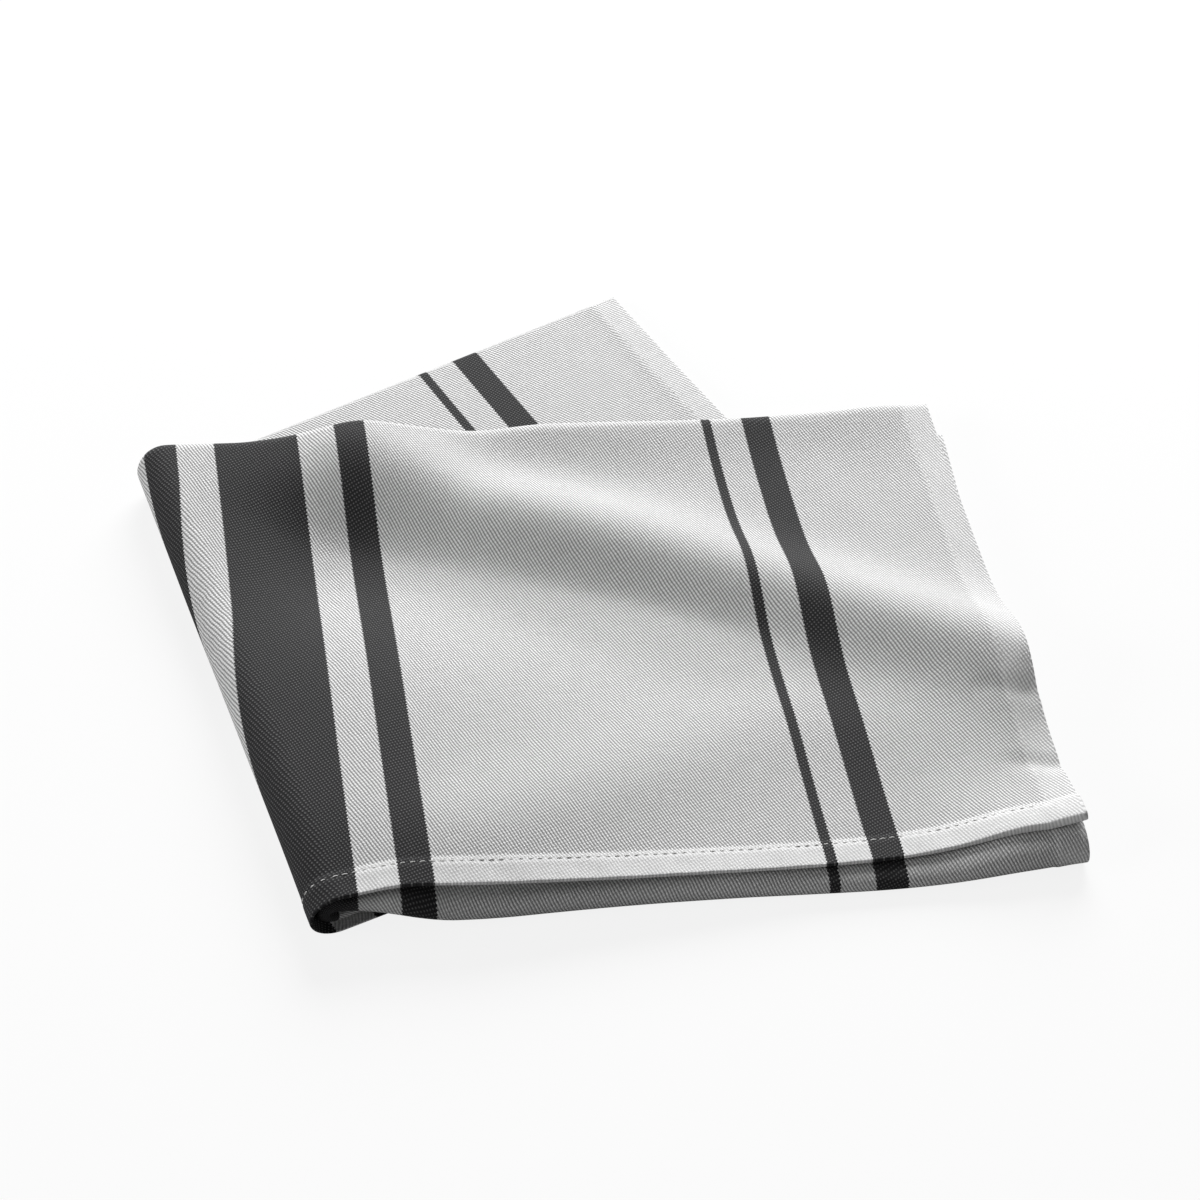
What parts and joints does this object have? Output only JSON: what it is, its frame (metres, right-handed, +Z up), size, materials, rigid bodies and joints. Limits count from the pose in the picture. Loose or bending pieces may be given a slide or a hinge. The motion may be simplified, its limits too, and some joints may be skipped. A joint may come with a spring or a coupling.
{
  "type": "folded tea towel",
  "caption": "Striped cotton tea towel, folded in three along its length and then in half on a slight slant, lying flat.",
  "frame": {"origin": "middle of the folded towel's footprint, on the surface that it rests on", "axes": "+Z up through the folded layers, +Y away from the stitched front hem and along the stripes of the upper half, +X across the stripes, away from the fold in half"},
  "size_m": [0.2934, 0.3301, 0.0272],
  "materials": {
    "cotton": "matte woven twill, light grey with charcoal stripes"
  },
  "bodies": {
    "root": {"towel": "cotton"}
  },
  "joints": []
}
